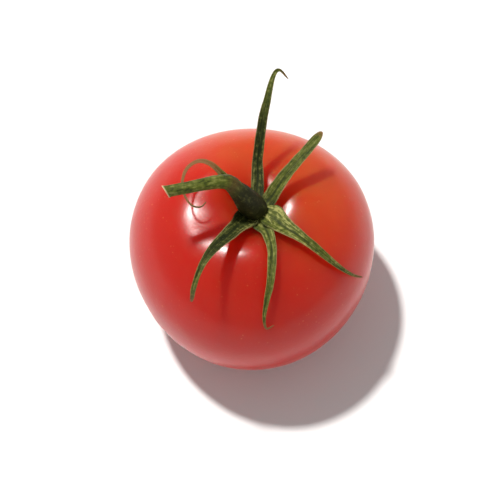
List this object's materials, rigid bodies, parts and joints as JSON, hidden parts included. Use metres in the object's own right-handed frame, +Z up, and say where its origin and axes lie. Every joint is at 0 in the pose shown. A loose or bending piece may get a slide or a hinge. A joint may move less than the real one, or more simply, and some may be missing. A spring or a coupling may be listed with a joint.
{
  "type": "tomato",
  "caption": "Ripe round tomato standing stalk up, with a green calyx of slender curling sepals around a short bent stalk with a cut end.",
  "frame": {"origin": "centre of the flattened spot underneath, on which the fruit rests", "axes": "+Z up through the fruit towards the calyx; +X is the side away from the stalk's cut end; the tallest sepal leans towards +Y"},
  "size_m": [0.0744, 0.0744, 0.0777],
  "materials": {
    "skin": "smooth, glossy, waxy ripe skin",
    "sepal_leaf": "matte green leaf with fine pale hairs",
    "stalk_skin": "matte green stalk with fine pale hairs and a pale cut end"
  },
  "bodies": {
    "root": {"fruit": "skin", "calyx_disc": "sepal_leaf", "sepal_back": "sepal_leaf", "sepal_back_right": "sepal_leaf", "sepal_right": "sepal_leaf", "sepal_front": "sepal_leaf", "sepal_front_left": "sepal_leaf", "sepal_back_left": "sepal_leaf", "stalk": "stalk_skin"}
  },
  "joints": []
}
